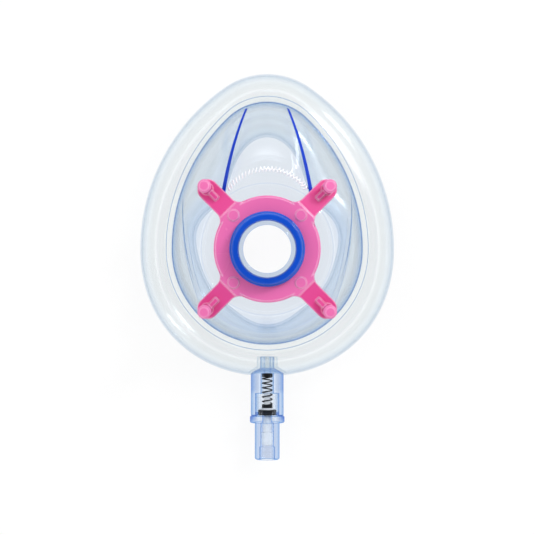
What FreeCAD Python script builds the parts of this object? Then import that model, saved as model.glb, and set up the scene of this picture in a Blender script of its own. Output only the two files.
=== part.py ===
import FreeCAD, Part
import math
import os

import Sketcher
from FreeCAD import Placement, Rotation, Vector

# Child-size anaesthesia face mask, lying on its cushion. Millimetres, +Z up along
# the breathing connector, +Y towards the nose, origin below the connector's axis
# on the plane where the cushion meets the face.

SIZES = {
    # cushion
    "cushion_chin": 34.4,
    "cushion_square": 2.1,
    "cushion_nose": 47.4,
    "cushion_tip": 20.0,
    "cushion_mid": 7.8,
    "cushion_half": 8.0,
    "cushion_film": 0.8,
    "open_mean": 20.156,
    "open_lift": 2.404,
    "open_long": -2.485,
    "open_three": -1.455,
    "open_four": 2.043,
    "open_five": 1.097,
    "open_six": -0.68,
    # rim and shell of the dome
    "rim_chin": 25.5,
    "rim_nose": 39.4,
    "rim_tip": 15.0,
    "rim_under": 14.6,
    "rim_thick": 1.2,
    "shell_wall": 1.3,
    "base_chin": 24.4,
    "base_nose": 39.0,
    "base_tip": 14.6,
    "low_chin": 22.6,
    "low_nose": 36.4,
    "low_tip": 11.6,
    "low_flank": 60.0,
    "low_rise": 4.0,
    "mid_chin": 20.4,
    "mid_nose": 31.4,
    "mid_tip": 10.3,
    "mid_flank": 36.0,
    "mid_rise": 8.0,
    "top_chin": 17.9,
    "top_nose": 24.4,
    "top_tip": 10.2,
    "top_flank": 22.0,
    "top_rise": 11.4,
    "side_split": 14.0,
    "cheek_arc": 70.0,
    "cheek_reach": 22.9,
    "cheek_y": 11.0,
    "shoulder_round": 3.0,
    "crown_radius": 17.5,
    "crown_step": 1.0,
    "crown_round": 0.9,
    # neck and connector tube
    "seat_radius": 9.6,
    "seat_rise": 0.6,
    "neck_radius": 8.6,
    "collar_seat": 7.4,
    "tube_radius": 7.6,
    "tube_bore": 6.35,
    "tube_top": 46.0,
    "tube_edge": 0.35,
    # hook ring
    "plate_radius": 14.1,
    "plate_thick": 2.0,
    "plate_bevel": 0.45,
    "ring_fit": 0.05,
    "arm_width": 5.6,
    "arm_start": 14.5,
    "arm_end": 22.1,
    "arm_drop": 2.6,
    "arm_step": 0.25,
    "arm_flare": 2.75,
    "boss_radius": 1.5,
    "boss_circle": 12.55,
    "boss_rise": 0.3,
    "post_base": 22.3,
    "post_tilt": 10.0,
    "post_height": 6.4,
    "post_radius": 1.5,
    "head_radius": 1.8,
    "head_flat": 1.3,
    "head_height": 1.3,
    "rib_start": 18.6,
    "rib_width": 1.35,
    "rib_height": 2.4,
    "rib_nose": 0.9,
    # colour collar
    "collar_radius": 9.95,
    "collar_height": 3.8,
    "collar_lip": 1.7,
    "collar_step": 0.6,
    "collar_round": 0.45,
    "collar_fit": 0.08,
    # nose lines
    "line_low_x": 11.6,
    "line_low_y": 14.9,
    "line_high_x": 5.5,
    "line_high_y": 37.9,
    "line_bow": 110.0,
    "line_low_half": 0.52,
    "line_high_half": 0.26,
    "line_proud": 0.3,
    "line_deep": 0.35,
    # inflation valve, depths inside and distances outside the cushion's chin end
    "port_depth": 5.2,
    "port_wall": 0.9,
    "neck_fit": 0.03,
    "valve_neck": 1.9,
    "valve_neck_bore": 0.95,
    "neck_round": 0.25,
    "neck_depth": 2.1,
    "shoulder_depth": 0.7,
    "shoulder_soft": 0.5,
    "valve_body": 4.45,
    "valve_relief": 0.3,
    "guide_bore": 1.8,
    "guide_end": 4.7,
    "chamber_bore": 3.3,
    "housing_end": 10.8,
    "socket_flange": 4.7,
    "flange_end": 12.7,
    "flange_round": 0.45,
    "spigot_rise": 1.0,
    "spigot_bore": 2.8,
    "spigot_fit": 0.05,
    "luer_radius": 3.36,
    "luer_round": 0.6,
    "luer_bore": 2.12,
    "luer_depth": 3.5,
    "luer_throat": 1.85,
    "luer_end": 22.7,
    "seat_bore": 1.35,
    "spring_radius": 1.32,
    "spring_wire": 0.36,
    "spring_turns": 6.25,
    "spring_closed": 2,
    "spring_end": 8.7,
    "stem_disc": 0.5,
    "stem_disc_radius": 1.7,
    "pin_radius": 0.8,
    "pin_start": 4.6,
    "seal_radius": 2.45,
    "seal_hole": 0.75,
    "seal_fit": 0.02,
    "seal_face": 10.6,
    "stem_radius": 1.05,
    "tip_start": 15.3,
    "tip_end": 18.9,
    "tip_radius": 1.55,
    "tip_round": 0.5,
}

doc = FreeCAD.newDocument("face_mask")
sheet = doc.addObject("Spreadsheet::Sheet", "Sizes")
for row, (alias, number) in enumerate(SIZES.items(), 1):
    sheet.set(f"A{row}", alias)
    sheet.set(f"B{row}", str(number))
    sheet.setAlias(f"B{row}", alias)
doc.recompute()

S = dict(SIZES)
CROWN = "(Sizes.rim_under + Sizes.top_rise + Sizes.crown_step)"
PLATE = f"({CROWN} + Sizes.seat_rise)"
PLATE_TOP = f"({PLATE} + Sizes.plate_thick)"
CREST = S["rim_under"] + S["top_rise"]


def origin_item(body, role):
    return next(item for item in body.Origin.OriginFeatures if item.Role == role)


def new_body(name):
    return doc.addObject("PartDesign::Body", name)


def new_sketch(body, name, role="XY_Plane", height=None):
    sketch = body.newObject("Sketcher::SketchObject", name)
    sketch.AttachmentSupport = [(origin_item(body, role), "")]
    sketch.MapMode = "FlatFace"
    if height:
        sketch.setExpression("AttachmentOffset.Base.z", height)
    return sketch


def dimension(sketch, kind, *where, size):
    index = sketch.addConstraint(Sketcher.Constraint(kind, *where))
    sketch.setExpression(f"Constraints[{index}]", size)


def outline(sketch, corners):
    """Closed outline through corners, each a pair of expressions."""
    count = len(corners)
    start = [
        Vector(9 * math.cos(2 * math.pi * k / count), 9 * math.sin(2 * math.pi * k / count), 0)
        for k in range(count)
    ]
    first = sketch.GeometryCount
    for k in range(count):
        sketch.addGeometry(Part.LineSegment(start[k], start[(k + 1) % count]), False)
    for k in range(count):
        after = first + (k + 1) % count
        sketch.addConstraint(Sketcher.Constraint("Coincident", first + k, 2, after, 1))
    for k, (across, along) in enumerate(corners):
        dimension(sketch, "DistanceX", -1, 1, first + k, 1, start[k].x, size=across)
        dimension(sketch, "DistanceY", -1, 1, first + k, 1, start[k].y, size=along)


def circle(sketch, radius, across="0", along="0"):
    index = sketch.addGeometry(Part.Circle(Vector(1, 1, 0), Vector(0, 0, 1), 1.0), False)
    dimension(sketch, "DistanceX", -1, 1, index, 3, 1.0, size=across)
    dimension(sketch, "DistanceY", -1, 1, index, 3, 1.0, size=along)
    dimension(sketch, "Radius", index, 1.0, size=radius)


def pad(body, sketch, length, name, down=False):
    doc.recompute()
    feature = body.newObject("PartDesign::Pad", name)
    feature.Profile = sketch
    feature.setExpression("Length", length)
    feature.Reversed = down
    return feature


def pocket(body, sketch, length, name, reverse=False, both=False):
    doc.recompute()
    feature = body.newObject("PartDesign::Pocket", name)
    feature.Profile = sketch
    feature.setExpression("Length", length)
    feature.Reversed = reverse
    feature.Midplane = both
    return feature


def turned(name, corners):
    """A body of revolution about its own Z axis."""
    body = new_body(name)
    sketch = new_sketch(body, name + "_profile", "XZ_Plane")
    outline(sketch, corners)
    doc.recompute()
    feature = body.newObject("PartDesign::Revolution", name + "_turn")
    feature.Profile = sketch
    feature.ReferenceAxis = (origin_item(body, "Z_Axis"), [""])
    feature.Angle = 360
    doc.recompute()
    return body


def round_edges(body, radius, chosen, name):
    doc.recompute()
    before = body.Tip
    names = [f"Edge{k}" for k, edge in enumerate(before.Shape.Edges, 1) if chosen(edge)]
    feature = body.newObject("PartDesign::Fillet", name)
    feature.Base = (before, names)
    feature.setExpression("Radius", radius)
    doc.recompute()
    return feature


def at_height(edge, height, slack=0.01):
    box = edge.BoundBox
    return abs(box.ZMin - height) < slack and abs(box.ZMax - height) < slack


def round_rims(*places):
    """Chooser for circular edges, each place a radius and a height."""

    def chosen(edge):
        reach = edge.BoundBox.XMax
        return any(at_height(edge, height) and abs(reach - radius) < 0.01 for radius, height in places)

    return chosen


def egg(body, name, key, inset, height, flank=None):
    """Egg-shaped outline in six arcs, drawn in by inset.

    Without flank the sides are one bulging arc in two stretches; with flank the
    chin's circle runs on past the widest point and the flanks are hollow arcs."""
    a = S[key + "_chin"]
    n = S[key + "_tip"]
    c = S[key + "_nose"] - n
    axis = Vector(0, 0, 1)
    middle = Vector(0, 0, 0)
    sketch = new_sketch(body, name, "XY_Plane", height)
    if flank is None:
        r = (a * a + c * c - n * n) / (2 * (a - n))
        turn = math.atan2(c, r - a)
        part = math.asin(S["side_split"] / r)
        right = Vector(a - r, 0, 0)
        left = Vector(r - a, 0, 0)
        arcs = [
            (middle, a, math.pi, 2 * math.pi),
            (right, r, 0, part),
            (right, r, part, turn),
            (Vector(0, c, 0), n, turn, math.pi - turn),
            (left, r, math.pi - turn, math.pi - part),
            (left, r, math.pi - part, math.pi),
        ]
        tangents = [(0, 2, 1, 1), (2, 2, 3, 1), (3, 2, 4, 1), (5, 2, 0, 1)]
        meetings = [(1, 2, 2, 1), (1, 3, 2, 3), (4, 2, 5, 1), (4, 3, 5, 3)]
    else:
        r = S[flank]
        y = (c * c + a * a - n * n + 2 * r * (a - n)) / (2 * c)
        x = math.sqrt((a + r) ** 2 - y * y)
        low = math.atan2(y, x)
        high = math.atan2(y - c, x)
        arcs = [
            (middle, a, math.pi, 2 * math.pi),
            (middle, a, 0, low),
            (Vector(x, y, 0), r, high + math.pi, low + math.pi),
            (Vector(0, c, 0), n, high, math.pi - high),
            (Vector(-x, y, 0), r, -low, -high),
            (middle, a, math.pi - low, math.pi),
        ]
        tangents = [(1, 2, 2, 2), (2, 1, 3, 1), (3, 2, 4, 2), (4, 1, 5, 1)]
        meetings = [(0, 2, 1, 1), (1, 3, -1, 1), (5, 2, 0, 1), (5, 3, -1, 1)]
    for centre, radius, begin, stop in arcs:
        sketch.addGeometry(Part.ArcOfCircle(Part.Circle(centre, axis, radius), begin, stop), False)
    sketch.addConstraint(Sketcher.Constraint("Coincident", 0, 3, -1, 1))
    sketch.addConstraint(Sketcher.Constraint("PointOnObject", 3, 3, -2))
    sketch.addConstraint(Sketcher.Constraint("PointOnObject", 0, 1, -1))
    sketch.addConstraint(Sketcher.Constraint("PointOnObject", 0, 2, -1))
    for end in tangents:
        sketch.addConstraint(Sketcher.Constraint("Tangent", *end))
    for end in meetings:
        sketch.addConstraint(Sketcher.Constraint("Coincident", *end))
    if flank is None:
        split = S["side_split"]
        dimension(sketch, "DistanceY", -1, 1, 1, 2, split, size="Sizes.side_split")
        dimension(sketch, "DistanceY", -1, 1, 4, 2, split, size="Sizes.side_split")
    else:
        dimension(sketch, "Radius", 2, r, size=f"Sizes.{flank} + {inset}")
        sketch.addConstraint(Sketcher.Constraint("Equal", 2, 4))
    dimension(sketch, "Radius", 0, a, size=f"Sizes.{key}_chin - {inset}")
    dimension(sketch, "Radius", 3, n, size=f"Sizes.{key}_tip - {inset}")
    dimension(sketch, "DistanceY", -1, 1, 3, 3, c, size=f"Sizes.{key}_nose - Sizes.{key}_tip")
    return sketch


def joined(kind, name, shapes):
    item = doc.addObject(kind, name)
    if kind == "Part::Cut":
        item.Base, item.Tool = shapes
    else:
        item.Shapes = shapes
    doc.recompute()
    return item


def dome_form(name, inset, sink="0"):
    """Solid outside form of the dome drawn in by inset: egg at the rim, pear at the crown."""
    body = new_body(name + "_loft")
    base = egg(body, name + "_base", "base", inset, f"Sizes.rim_under - {sink}")
    ribs = []
    for key in ("low", "mid", "top"):
        height = f"Sizes.rim_under + Sizes.{key}_rise - {inset}"
        ribs.append(egg(body, f"{name}_{key}", key, inset, height, key + "_flank"))
    doc.recompute()
    loft = body.newObject("PartDesign::AdditiveLoft", name + "_skin")
    loft.Profile = (base, [""])
    loft.Sections = [(rib, [""]) for rib in ribs]
    doc.recompute()
    parts = [body]
    for side in (-1, 1):
        cheek = doc.addObject("Part::Cylinder", f"{name}_cheek_{'left' if side < 0 else 'right'}")
        cheek.setExpression("Radius", f"Sizes.cheek_arc - {inset}")
        cheek.Height = 60
        cheek.setExpression("Placement.Base.x", f"{side} * (Sizes.cheek_reach - Sizes.cheek_arc)")
        cheek.setExpression("Placement.Base.y", "Sizes.cheek_y")
        parts.append(cheek)
    block = joined("Part::MultiCommon", name + "_block", parts)
    form = doc.addObject("Part::Fillet", name)
    form.Base = block
    top = block.Shape.BoundBox.ZMax
    radius = S["shoulder_round"]
    edges = enumerate(block.Shape.Edges, 1)
    form.Edges = [(k, radius, radius) for k, edge in edges if at_height(edge, top, 0.05)]
    doc.recompute()
    return form


# Dome: rim, shell, crown, neck and tube
outside = dome_form("shell_outside", "0")
inside = dome_form("shell_inside", "Sizes.shell_wall", "1")
line_over = dome_form("line_over", "-1 * Sizes.line_proud")
line_under = dome_form("line_under", "Sizes.line_deep")

rim = new_body("rim")
pad(rim, egg(rim, "rim_outline", "rim", "0", "Sizes.rim_under"), "Sizes.rim_thick", "rim_plate")
rim_top = S["rim_under"] + S["rim_thick"]
round_edges(rim, "0.4 * Sizes.rim_thick", lambda e: at_height(e, rim_top), "rim_edge")

crown = new_body("crown")
crown_sketch = new_sketch(crown, "crown_outline", "XY_Plane", "Sizes.rim_under + Sizes.top_rise - 2")
circle(crown_sketch, "Sizes.crown_radius")
pad(crown, crown_sketch, "Sizes.crown_step + 2", "crown_plate")
round_edges(
    crown,
    "Sizes.crown_round",
    lambda e: at_height(e, CREST + S["crown_step"]),
    "crown_edge",
)
EDGE = "Sizes.tube_edge"
tube = turned(
    "tube",
    [
        ("0", "Sizes.rim_under + Sizes.top_rise - 2"),
        ("Sizes.seat_radius", "Sizes.rim_under + Sizes.top_rise - 2"),
        ("Sizes.seat_radius", PLATE),
        ("Sizes.neck_radius", PLATE),
        ("Sizes.neck_radius", PLATE_TOP),
        ("Sizes.collar_seat", PLATE_TOP),
        ("Sizes.collar_seat", f"{PLATE_TOP} + Sizes.collar_height + Sizes.ring_fit"),
        ("Sizes.tube_radius", f"{PLATE_TOP} + Sizes.collar_height + Sizes.ring_fit"),
        ("Sizes.tube_radius", f"Sizes.tube_top - {EDGE}"),
        (f"Sizes.tube_radius - {EDGE}", "Sizes.tube_top"),
        ("0", "Sizes.tube_top"),
    ],
)
bore = turned(
    "bore",
    [
        ("0", "Sizes.rim_under"),
        ("Sizes.tube_bore", "Sizes.rim_under"),
        ("Sizes.tube_bore", f"Sizes.tube_top - {EDGE}"),
        (f"Sizes.tube_bore + {EDGE}", "Sizes.tube_top"),
        (f"Sizes.tube_bore + {EDGE}", "Sizes.tube_top + 5"),
        ("0", "Sizes.tube_top + 5"),
    ],
)

# Nose lines: tapered strips let into the shell
def strip_body(side, word):
    body = new_body("strip_" + word)
    sketch = new_sketch(body, "strip_outline_" + word, "XY_Plane", "Sizes.rim_under + Sizes.rim_thick")
    low = Vector(side * S["line_low_x"], S["line_low_y"], 0)
    high = Vector(side * S["line_high_x"], S["line_high_y"], 0)
    bow = S["line_bow"]
    ends = []
    for edge in (-1, 1):
        begin = low + Vector(edge * S["line_low_half"], 0, 0)
        stop = high + Vector(edge * S["line_high_half"], 0, 0)
        run = stop - begin
        lift = bow - math.sqrt(bow * bow - run.Length ** 2 / 4)
        middle = (begin + stop) / 2 + Vector(run.y, -run.x, 0).normalize() * (side * lift)
        index = sketch.addGeometry(Part.Arc(begin, middle, stop), False)
        first = 1 if sketch.getPoint(index, 1).distanceToPoint(begin) < 0.01 else 2
        last = 3 - first
        places = (
            (first, begin, "low"),
            (last, stop, "high"),
        )
        for point, place, key in places:
            across = f"{side} * Sizes.line_{key}_x + {edge} * Sizes.line_{key}_half"
            dimension(sketch, "DistanceX", -1, 1, index, point, place.x, size=across)
            dimension(sketch, "DistanceY", -1, 1, index, point, place.y, size=f"Sizes.line_{key}_y")
        dimension(sketch, "Radius", index, bow, size="Sizes.line_bow")
        ends.append((index, first, last, begin, stop))
    (one, a, b, begin, stop), (two, c, d, begin_two, stop_two) = ends
    for left, right, p, q in ((a, c, begin, begin_two), (b, d, stop, stop_two)):
        line = sketch.addGeometry(Part.LineSegment(p, q), False)
        sketch.addConstraint(Sketcher.Constraint("Coincident", line, 1, one, left))
        sketch.addConstraint(Sketcher.Constraint("Coincident", line, 2, two, right))
    pad(body, sketch, "Sizes.top_rise + Sizes.line_proud", "strip_tall_" + word)
    doc.recompute()
    return body


lines = []
for side, word in ((-1, "left"), (1, "right")):
    over = joined("Part::MultiCommon", "line_block_" + word, [strip_body(side, word), line_over])
    line = joined("Part::Cut", "nose_line_" + word, [over, line_under])
    lines.append(line)

moulding = joined("Part::MultiFuse", "dome_full", [rim, outside, crown, tube])
hollows = joined("Part::MultiFuse", "dome_hollows", [inside, bore])
hollowed = joined("Part::Cut", "dome_hollowed", [moulding, hollows])
grooved = joined("Part::Cut", "dome_grooved", [hollowed, lines[0]])
dome = joined("Part::Cut", "dome", [grooved, lines[1]])

# Hook ring: plate, then one arm with boss, rib and post, repeated four times
ring = turned(
    "hook_ring",
    [
        ("Sizes.neck_radius + Sizes.ring_fit", PLATE),
        ("Sizes.plate_radius", PLATE),
        ("Sizes.plate_radius", f"{PLATE_TOP} - Sizes.plate_bevel"),
        ("Sizes.plate_radius - Sizes.plate_bevel", PLATE_TOP),
        ("Sizes.neck_radius + Sizes.ring_fit", PLATE_TOP),
    ],
)


def arm_outline():
    sketch = new_sketch(ring, "arm_outline", "XY_Plane", f"{PLATE} - Sizes.arm_drop")
    axis = Vector(0, 0, 1)
    half = S["arm_width"] / 2
    flare = S["arm_flare"]
    plate = S["plate_radius"]
    end = S["arm_end"]
    x = math.sqrt((plate + flare) ** 2 - (half + flare) ** 2)
    turn = math.atan2(half + flare, x)
    root = Vector(plate * math.cos(turn), plate * math.sin(turn), 0)
    low = Part.Circle(Vector(x, -half - flare, 0), axis, flare)
    high = Part.Circle(Vector(x, half + flare, 0), axis, flare)
    sketch.addGeometry(Part.ArcOfCircle(low, math.pi / 2, math.pi - turn), False)
    sketch.addGeometry(Part.LineSegment(Vector(x, -half, 0), Vector(end, -half, 0)), False)
    tip = Part.Circle(Vector(end, 0, 0), axis, half)
    sketch.addGeometry(Part.ArcOfCircle(tip, -math.pi / 2, math.pi / 2), False)
    sketch.addGeometry(Part.LineSegment(Vector(end, half, 0), Vector(x, half, 0)), False)
    sketch.addGeometry(Part.ArcOfCircle(high, math.pi + turn, 1.5 * math.pi), False)
    sketch.addGeometry(Part.LineSegment(root, Vector(root.x, -root.y, 0)), False)
    sketch.addGeometry(Part.Circle(Vector(0, 0, 0), axis, plate), True)
    for joint in ((0, 1, 1, 1), (1, 2, 2, 1), (2, 2, 3, 1), (3, 2, 4, 2)):
        sketch.addConstraint(Sketcher.Constraint("Tangent", *joint))
    sketch.addConstraint(Sketcher.Constraint("Coincident", 4, 1, 5, 1))
    sketch.addConstraint(Sketcher.Constraint("Coincident", 5, 2, 0, 2))
    sketch.addConstraint(Sketcher.Constraint("Coincident", 6, 3, -1, 1))
    sketch.addConstraint(Sketcher.Constraint("Tangent", 0, 2, 6))
    sketch.addConstraint(Sketcher.Constraint("Tangent", 4, 1, 6))
    sketch.addConstraint(Sketcher.Constraint("Horizontal", 1))
    sketch.addConstraint(Sketcher.Constraint("PointOnObject", 2, 3, -1))
    sketch.addConstraint(Sketcher.Constraint("Equal", 0, 4))
    dimension(sketch, "Radius", 6, plate, size="Sizes.plate_radius")
    dimension(sketch, "Radius", 0, flare, size="Sizes.arm_flare")
    dimension(sketch, "Radius", 2, half, size="Sizes.arm_width / 2")
    dimension(sketch, "DistanceX", -1, 1, 2, 3, end, size="Sizes.arm_end")
    return sketch


FAR = "(Sizes.arm_end + Sizes.arm_width)"
SLOPE = "(Sizes.arm_drop / (Sizes.arm_end + Sizes.arm_width / 2 - Sizes.arm_start))"
ARM_TOP = f"({PLATE_TOP} - Sizes.arm_step)"
arm = pad(ring, arm_outline(), "Sizes.plate_thick + Sizes.arm_drop", "arm")
above = new_sketch(ring, "above_arm", "XZ_Plane")
outline(
    above,
    [
        ("Sizes.arm_start", PLATE_TOP),
        ("Sizes.arm_start + Sizes.arm_step", f"{PLATE_TOP} - Sizes.arm_step"),
        (FAR, f"{ARM_TOP} - {SLOPE} * ({FAR} - Sizes.arm_start)"),
        (FAR, f"{PLATE_TOP} + 2"),
        ("Sizes.arm_start", f"{PLATE_TOP} + 2"),
    ],
)
over_cut = pocket(ring, above, "2 * Sizes.plate_radius", "arm_top", both=True)
below = new_sketch(ring, "below_arm", "XZ_Plane")
outline(
    below,
    [
        ("Sizes.neck_radius", PLATE),
        ("Sizes.arm_start", PLATE),
        (FAR, f"{PLATE} - {SLOPE} * ({FAR} - Sizes.arm_start)"),
        (FAR, f"{PLATE} - 2 * Sizes.arm_drop"),
        ("Sizes.neck_radius", f"{PLATE} - 2 * Sizes.arm_drop"),
    ],
)
under_cut = pocket(ring, below, "2 * Sizes.plate_radius", "arm_under", both=True)

boss_sketch = new_sketch(ring, "boss_outline", "XY_Plane", f"{PLATE_TOP} - Sizes.plate_bevel")
circle(boss_sketch, "Sizes.boss_radius", "Sizes.boss_circle")
boss = pad(ring, boss_sketch, "Sizes.plate_bevel + Sizes.boss_rise", "boss")

FOOT = f"({PLATE_TOP} - Sizes.arm_drop)"
rib_sketch = new_sketch(ring, "rib_outline", "XZ_Plane")
outline(
    rib_sketch,
    [
        (
            "Sizes.rib_start",
            f"{ARM_TOP} - {SLOPE} * (Sizes.rib_start - Sizes.arm_start) + Sizes.rib_nose",
        ),
        ("Sizes.rib_start", f"{FOOT}"),
        ("Sizes.post_base", FOOT),
        ("Sizes.post_base", f"{FOOT} + Sizes.rib_height + Sizes.arm_drop / 4"),
    ],
)
doc.recompute()
rib = pad(ring, rib_sketch, "Sizes.rib_width", "rib")
rib.Midplane = True


def leaning(radius, height):
    """Corner of the post's profile at a radius and height on its leaning axis."""
    across = f"Sizes.post_base + ({radius}) * cos(Sizes.post_tilt) + ({height}) * sin(Sizes.post_tilt)"
    along = f"{FOOT} - ({radius}) * sin(Sizes.post_tilt) + ({height}) * cos(Sizes.post_tilt)"
    return across, along


post_sketch = new_sketch(ring, "post_outline", "XZ_Plane")
TALL = "Sizes.post_height"
outline(
    post_sketch,
    [
        leaning("0", "0"),
        leaning("Sizes.post_radius", "0"),
        leaning("Sizes.post_radius", f"{TALL} - Sizes.head_height"),
        leaning("Sizes.head_radius", f"{TALL} - 0.8 * Sizes.head_height"),
        leaning("Sizes.head_radius", f"{TALL} - 0.35 * Sizes.head_height"),
        leaning("Sizes.head_flat", TALL),
        leaning("0", TALL),
    ],
)
doc.recompute()
post = ring.newObject("PartDesign::Revolution", "post")
post.Profile = post_sketch
post.ReferenceAxis = (post_sketch, ["Edge7"])
post.Angle = 360
doc.recompute()
repeat = ring.newObject("PartDesign::PolarPattern", "four_arms")
repeat.Originals = [arm, over_cut, under_cut, boss, rib, post]
repeat.Axis = (origin_item(ring, "Z_Axis"), [""])
repeat.Angle = 360
repeat.Occurrences = 4
ring.Tip = repeat
ring.Placement = Placement(Vector(0, 0, 0), Rotation(Vector(0, 0, 1), 45))
doc.recompute()

# Colour collar clamping the hook ring on the neck
INNER = "(Sizes.collar_seat + Sizes.collar_fit)"
collar = turned(
    "collar_ring",
    [
        (INNER, PLATE_TOP),
        ("Sizes.collar_radius", PLATE_TOP),
        ("Sizes.collar_radius", f"{PLATE_TOP} + Sizes.collar_lip"),
        ("Sizes.collar_radius - Sizes.collar_step", f"{PLATE_TOP} + Sizes.collar_lip"),
        ("Sizes.collar_radius - Sizes.collar_step", f"{PLATE_TOP} + Sizes.collar_height"),
        (INNER, f"{PLATE_TOP} + Sizes.collar_height"),
    ],
)
lip = CREST + S["crown_step"] + S["seat_rise"] + S["plate_thick"] + S["collar_lip"]
rim_of = S["collar_radius"]
brow = lip - S["collar_lip"] + S["collar_height"]


def collar_edge(edge):
    radius = edge.BoundBox.XMax
    outer = at_height(edge, lip) and abs(radius - rim_of) < 0.01
    upper = at_height(edge, brow) and abs(radius - rim_of + S["collar_step"]) < 0.01
    return outer or upper


round_edges(collar, "Sizes.collar_round", collar_edge, "collar_rounds")

# Inflation valve: turned about Z, then laid along the chin, heights from the chin end
PORT = "-Sizes.port_depth"
NECK = "-Sizes.neck_depth"
SHOULDER = "-Sizes.shoulder_depth"
housing = turned(
    "valve_housing",
    [
        ("Sizes.valve_neck_bore", PORT),
        ("Sizes.valve_neck", PORT),
        ("Sizes.valve_neck", NECK),
        ("Sizes.valve_body", SHOULDER),
        ("Sizes.valve_body", "Sizes.housing_end"),
        ("Sizes.chamber_bore", "Sizes.housing_end"),
        ("Sizes.chamber_bore", "Sizes.guide_end"),
        ("Sizes.guide_bore", "Sizes.guide_end"),
        ("Sizes.guide_bore", SHOULDER),
        ("Sizes.valve_neck_bore", SHOULDER),
    ],
)
neck_rims = round_rims((S["valve_neck"], -S["port_depth"]), (S["valve_body"], S["housing_end"]))
round_edges(housing, "Sizes.neck_round", neck_rims, "neck_rounds")
shoulder_rim = round_rims((S["valve_body"], -S["shoulder_depth"]))
round_edges(housing, "Sizes.shoulder_soft", shoulder_rim, "shoulder_rounds")
socket = turned(
    "valve_socket",
    [
        ("Sizes.seat_bore", "Sizes.seal_face"),
        ("Sizes.spigot_bore", "Sizes.seal_face"),
        ("Sizes.spigot_bore", "Sizes.housing_end - Sizes.spigot_rise"),
        ("Sizes.chamber_bore - Sizes.spigot_fit", "Sizes.housing_end - Sizes.spigot_rise"),
        ("Sizes.chamber_bore - Sizes.spigot_fit", "Sizes.housing_end"),
        ("Sizes.socket_flange", "Sizes.housing_end"),
        ("Sizes.socket_flange", "Sizes.flange_end"),
        ("Sizes.luer_radius", "Sizes.flange_end"),
        ("Sizes.luer_radius", "Sizes.luer_end"),
        ("Sizes.luer_bore", "Sizes.luer_end"),
        ("Sizes.luer_bore", "Sizes.luer_end - Sizes.luer_depth"),
        ("Sizes.luer_throat", "Sizes.luer_end - Sizes.luer_depth"),
        ("Sizes.luer_throat", "Sizes.flange_end"),
        ("Sizes.seat_bore", "Sizes.flange_end"),
    ],
)
flange = S["socket_flange"]
flange_rims = round_rims((flange, S["housing_end"]), (flange, S["flange_end"]))
round_edges(socket, "Sizes.flange_round", flange_rims, "flange_rounds")
round_edges(socket, "Sizes.luer_round", round_rims((S["luer_radius"], S["luer_end"])), "luer_rounds")
GROOVE = "(Sizes.seal_hole - Sizes.seal_fit)"
DISC = "(Sizes.spring_end + Sizes.stem_disc)"
stem = turned(
    "valve_stem",
    [
        ("0", "Sizes.pin_start"),
        ("Sizes.pin_radius", "Sizes.pin_start"),
        ("Sizes.pin_radius", "Sizes.spring_end"),
        ("Sizes.stem_disc_radius", "Sizes.spring_end"),
        ("Sizes.stem_disc_radius", DISC),
        (GROOVE, DISC),
        (GROOVE, "Sizes.seal_face"),
        ("Sizes.stem_radius", "Sizes.seal_face"),
        ("Sizes.stem_radius", "Sizes.tip_start"),
        ("Sizes.tip_radius", "Sizes.tip_start"),
        ("Sizes.tip_radius", "Sizes.tip_end"),
        ("0", "Sizes.tip_end"),
    ],
)
round_edges(stem, "Sizes.tip_round", round_rims((S["tip_radius"], S["tip_end"])), "tip_rounds")
seal = turned(
    "valve_seal",
    [
        ("Sizes.seal_hole", DISC),
        ("Sizes.seal_radius", DISC),
        ("Sizes.seal_radius", "Sizes.seal_face"),
        ("Sizes.seal_hole", "Sizes.seal_face"),
    ],
)


def coil():
    """Compression spring between the housing's seat and the stem's disc, its end turns closed."""
    radius = S["spring_radius"]
    wire = S["spring_wire"] / 2
    tight = 0.9 * S["spring_wire"]
    closed = S["spring_closed"]
    low = wire - S["shoulder_depth"]
    high = S["spring_end"] - wire
    begin = low + closed * tight
    active = high - low - 2 * closed * tight
    helix = Part.makeHelix(active / S["spring_turns"], active, radius)
    helix.translate(Vector(0, 0, begin))
    profile = Part.Wire([Part.Circle(Vector(radius, 0, begin), Vector(0, 1, 0), wire).toShape()])
    turns = Part.Wire(helix.Edges).makePipeShell([profile], True, True)
    rings = []
    for k in range(closed + 1):
        for height in (low + k * tight, high - k * tight):
            rings.append(Part.makeTorus(radius, wire, Vector(0, 0, height), Vector(0, 0, 1)))
    return turns.fuse(rings)


spring = doc.addObject("Part::Feature", "valve_spring")
spring.Shape = coil()
valve = [housing, socket, stem, seal, spring]
for item in valve:
    item.Placement = Placement(Vector(0, 0, 0), Rotation(Vector(1, 0, 0), 90))
    item.setExpression("Placement.Base.y", "-Sizes.cushion_chin")
    item.setExpression("Placement.Base.z", "Sizes.cushion_mid")


# Cushion: hollow ring lofted through upright sections round the face opening
def outer_reach(angle, inset):
    """Distance from the connector's axis to the cushion's outer edge."""
    a = S["cushion_chin"] - inset
    n = S["cushion_tip"] - inset
    c = S["cushion_nose"] - S["cushion_tip"]
    r = (a * a + c * c - n * n) / (2 * (a - n))
    sine = math.sin(angle)
    if sine <= 0:
        power = S["cushion_square"]
        return a / (abs(math.cos(angle)) ** power + abs(sine) ** power) ** (1 / power)
    swing = (r - a) * math.cos(angle)
    side = -swing + math.sqrt(swing * swing + r * r - (r - a) ** 2)
    if side * sine < c + n * c / (r - n):
        return side
    return c * sine + math.sqrt(n * n - (c * math.cos(angle)) ** 2)


def inner_reach(angle, inset):
    """Distance from the connector's axis to the edge of the face opening."""
    terms = (
        S["open_mean"],
        S["open_lift"] * math.sin(angle),
        S["open_long"] * math.cos(2 * angle),
        S["open_three"] * math.sin(3 * angle),
        S["open_four"] * math.cos(4 * angle),
        S["open_five"] * math.sin(5 * angle),
        S["open_six"] * math.cos(6 * angle),
    )
    return sum(terms) + inset


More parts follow.
